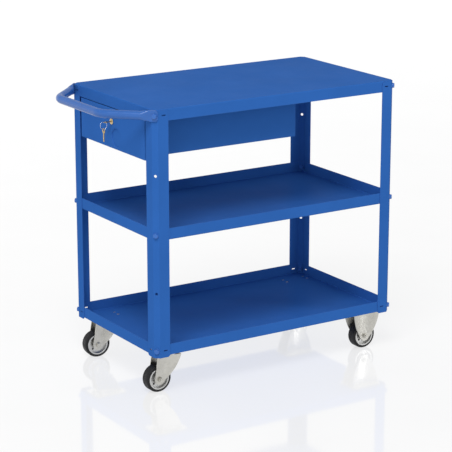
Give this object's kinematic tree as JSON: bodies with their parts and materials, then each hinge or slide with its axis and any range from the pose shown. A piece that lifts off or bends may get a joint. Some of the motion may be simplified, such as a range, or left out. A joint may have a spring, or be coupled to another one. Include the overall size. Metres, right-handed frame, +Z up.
{
  "type": "rolling tool trolley",
  "caption": "Open workshop trolley: flat top, two lipped trays between angle posts, a lockable drawer under the top, a tube push handle, and swivel and fixed casters.",
  "frame": {"origin": "on the floor, in the middle of the overall length and width", "axes": "+Z up; the push handle and drawer front are at the -X end; +Y is the left side for a person pushing it along +X"},
  "size_m": [0.9712, 0.5006, 0.86],
  "materials": {
    "blue_paint": "smooth glossy powder coat, gentian blue",
    "inner_paint": "smooth powder coat, gentian blue",
    "painted_fastener": "fasteners coated in the body colour",
    "zinc_steel": "bright zinc plate",
    "caster_zinc": "pressed steel with bright zinc plate",
    "lock_metal": "polished brass",
    "brass": "milled brass",
    "ring_wire": "bright wire",
    "tyre_rubber": "black moulded rubber",
    "rim_metal": "pressed steel, zinc plated",
    "bearing": "turned steel sleeve"
  },
  "bodies": {
    "frame": {"post_handle_left": "blue_paint", "post_handle_right": "blue_paint", "post_end_left": "blue_paint", "post_end_right": "blue_paint", "top_shelf": "blue_paint", "middle_tray": "blue_paint", "bottom_tray": "blue_paint", "shelf_bolts": "painted_fastener", "shelf_washers": "painted_fastener", "shelf_nuts": "painted_fastener", "handle_tube": "blue_paint", "drawer_housing": "inner_paint", "housing_studs": "zinc_steel", "housing_nuts": "zinc_steel", "slide_outer_left": "zinc_steel", "slide_outer_right": "zinc_steel", "lock_keeper": "inner_paint", "swivel_plate_left": "caster_zinc", "swivel_plate_right": "caster_zinc", "kingpin_left": "caster_zinc", "kingpin_right": "caster_zinc", "rigid_bracket_left": "caster_zinc", "rigid_bracket_right": "caster_zinc", "caster_screws": "caster_zinc", "rivet_nuts": "painted_fastener", "rigid_axles": "caster_zinc", "rigid_axle_nuts": "caster_zinc"},
    "drawer": {"drawer_box": "inner_paint", "drawer_front": "blue_paint", "front_screws": "zinc_steel", "lock_barrel": "lock_metal", "lock_nut": "zinc_steel", "slide_inner_left": "zinc_steel", "slide_inner_right": "zinc_steel"},
    "slide_middle_left": {"slide_middle_left": "zinc_steel"},
    "slide_middle_right": {"slide_middle_right": "zinc_steel"},
    "lock_core": {"lock_plug": "brass", "lock_cam": "zinc_steel", "cam_screw": "zinc_steel", "key": "brass"},
    "key_ring": {"key_ring": "ring_wire"},
    "spare_key": {"spare_key": "brass"},
    "swivel_left": {"swivel_fork_left": "caster_zinc", "swivel_axle_left": "caster_zinc", "swivel_axle_nut_left": "caster_zinc"},
    "wheel_swivel_left": {"tyre_swivel_left": "tyre_rubber", "rim_swivel_left": "rim_metal", "wheel_bearing_swivel_left": "bearing"},
    "wheel_rigid_left": {"tyre_rigid_left": "tyre_rubber", "rim_rigid_left": "rim_metal", "wheel_bearing_rigid_left": "bearing"},
    "swivel_right": {"swivel_fork_right": "caster_zinc", "swivel_axle_right": "caster_zinc", "swivel_axle_nut_right": "caster_zinc"},
    "wheel_swivel_right": {"tyre_swivel_right": "tyre_rubber", "rim_swivel_right": "rim_metal", "wheel_bearing_swivel_right": "bearing"},
    "wheel_rigid_right": {"tyre_rigid_right": "tyre_rubber", "rim_rigid_right": "rim_metal", "wheel_bearing_rigid_right": "bearing"}
  },
  "joints": [
    {"name": "drawer_slide", "type": "slide", "parent": "frame", "child": "drawer", "axis": [-1, 0, 0], "range_m": [0, 0.45]},
    {"name": "middle_slide_left", "type": "slide", "parent": "frame", "child": "slide_middle_left", "axis": [-1, 0, 0], "range_m": [0, 0.225]},
    {"name": "middle_slide_right", "type": "slide", "parent": "frame", "child": "slide_middle_right", "axis": [-1, 0, 0], "range_m": [0, 0.225]},
    {"name": "lock_turn", "type": "hinge", "parent": "drawer", "child": "lock_core", "pos_m": [-0.36624, 0, 0.785], "axis": [1, 0, 0], "range_deg": [0, 90]},
    {"name": "ring_swing", "type": "hinge", "parent": "lock_core", "child": "key_ring", "pos_m": [-0.39327, 0, 0.7864], "axis": [1, 0, 0], "range_deg": [-25, 25]},
    {"name": "spare_key_swing", "type": "hinge", "parent": "key_ring", "child": "spare_key", "pos_m": [-0.39327, 0, 0.7648], "axis": [1, 0, 0], "range_deg": [-60, 60]},
    {"name": "swivel_turn_left", "type": "hinge", "parent": "frame", "child": "swivel_left", "pos_m": [-0.29924, 0.185, 0.113], "axis": [0, 0, 1], "continuous": true},
    {"name": "wheel_spin_swivel_left", "type": "hinge", "parent": "swivel_left", "child": "wheel_swivel_left", "pos_m": [-0.33106, 0.18835, 0.041], "axis": [0.1045, 0.9945, 0], "continuous": true},
    {"name": "wheel_spin_rigid_left", "type": "hinge", "parent": "frame", "child": "wheel_rigid_left", "pos_m": [0.41876, 0.185, 0.041], "axis": [0, 1, 0], "continuous": true},
    {"name": "swivel_turn_right", "type": "hinge", "parent": "frame", "child": "swivel_right", "pos_m": [-0.29924, -0.185, 0.113], "axis": [0, 0, 1], "continuous": true},
    {"name": "wheel_spin_swivel_right", "type": "hinge", "parent": "swivel_right", "child": "wheel_swivel_right", "pos_m": [-0.33124, -0.185, 0.041], "axis": [0, 1, 0], "continuous": true},
    {"name": "wheel_spin_rigid_right", "type": "hinge", "parent": "frame", "child": "wheel_rigid_right", "pos_m": [0.41876, -0.185, 0.041], "axis": [0, 1, 0], "continuous": true}
  ],
  "couplings": [
    {"joint": "middle_slide_left", "follows": "drawer_slide", "ratio": 0.5},
    {"joint": "middle_slide_right", "follows": "drawer_slide", "ratio": 0.5}
  ]
}
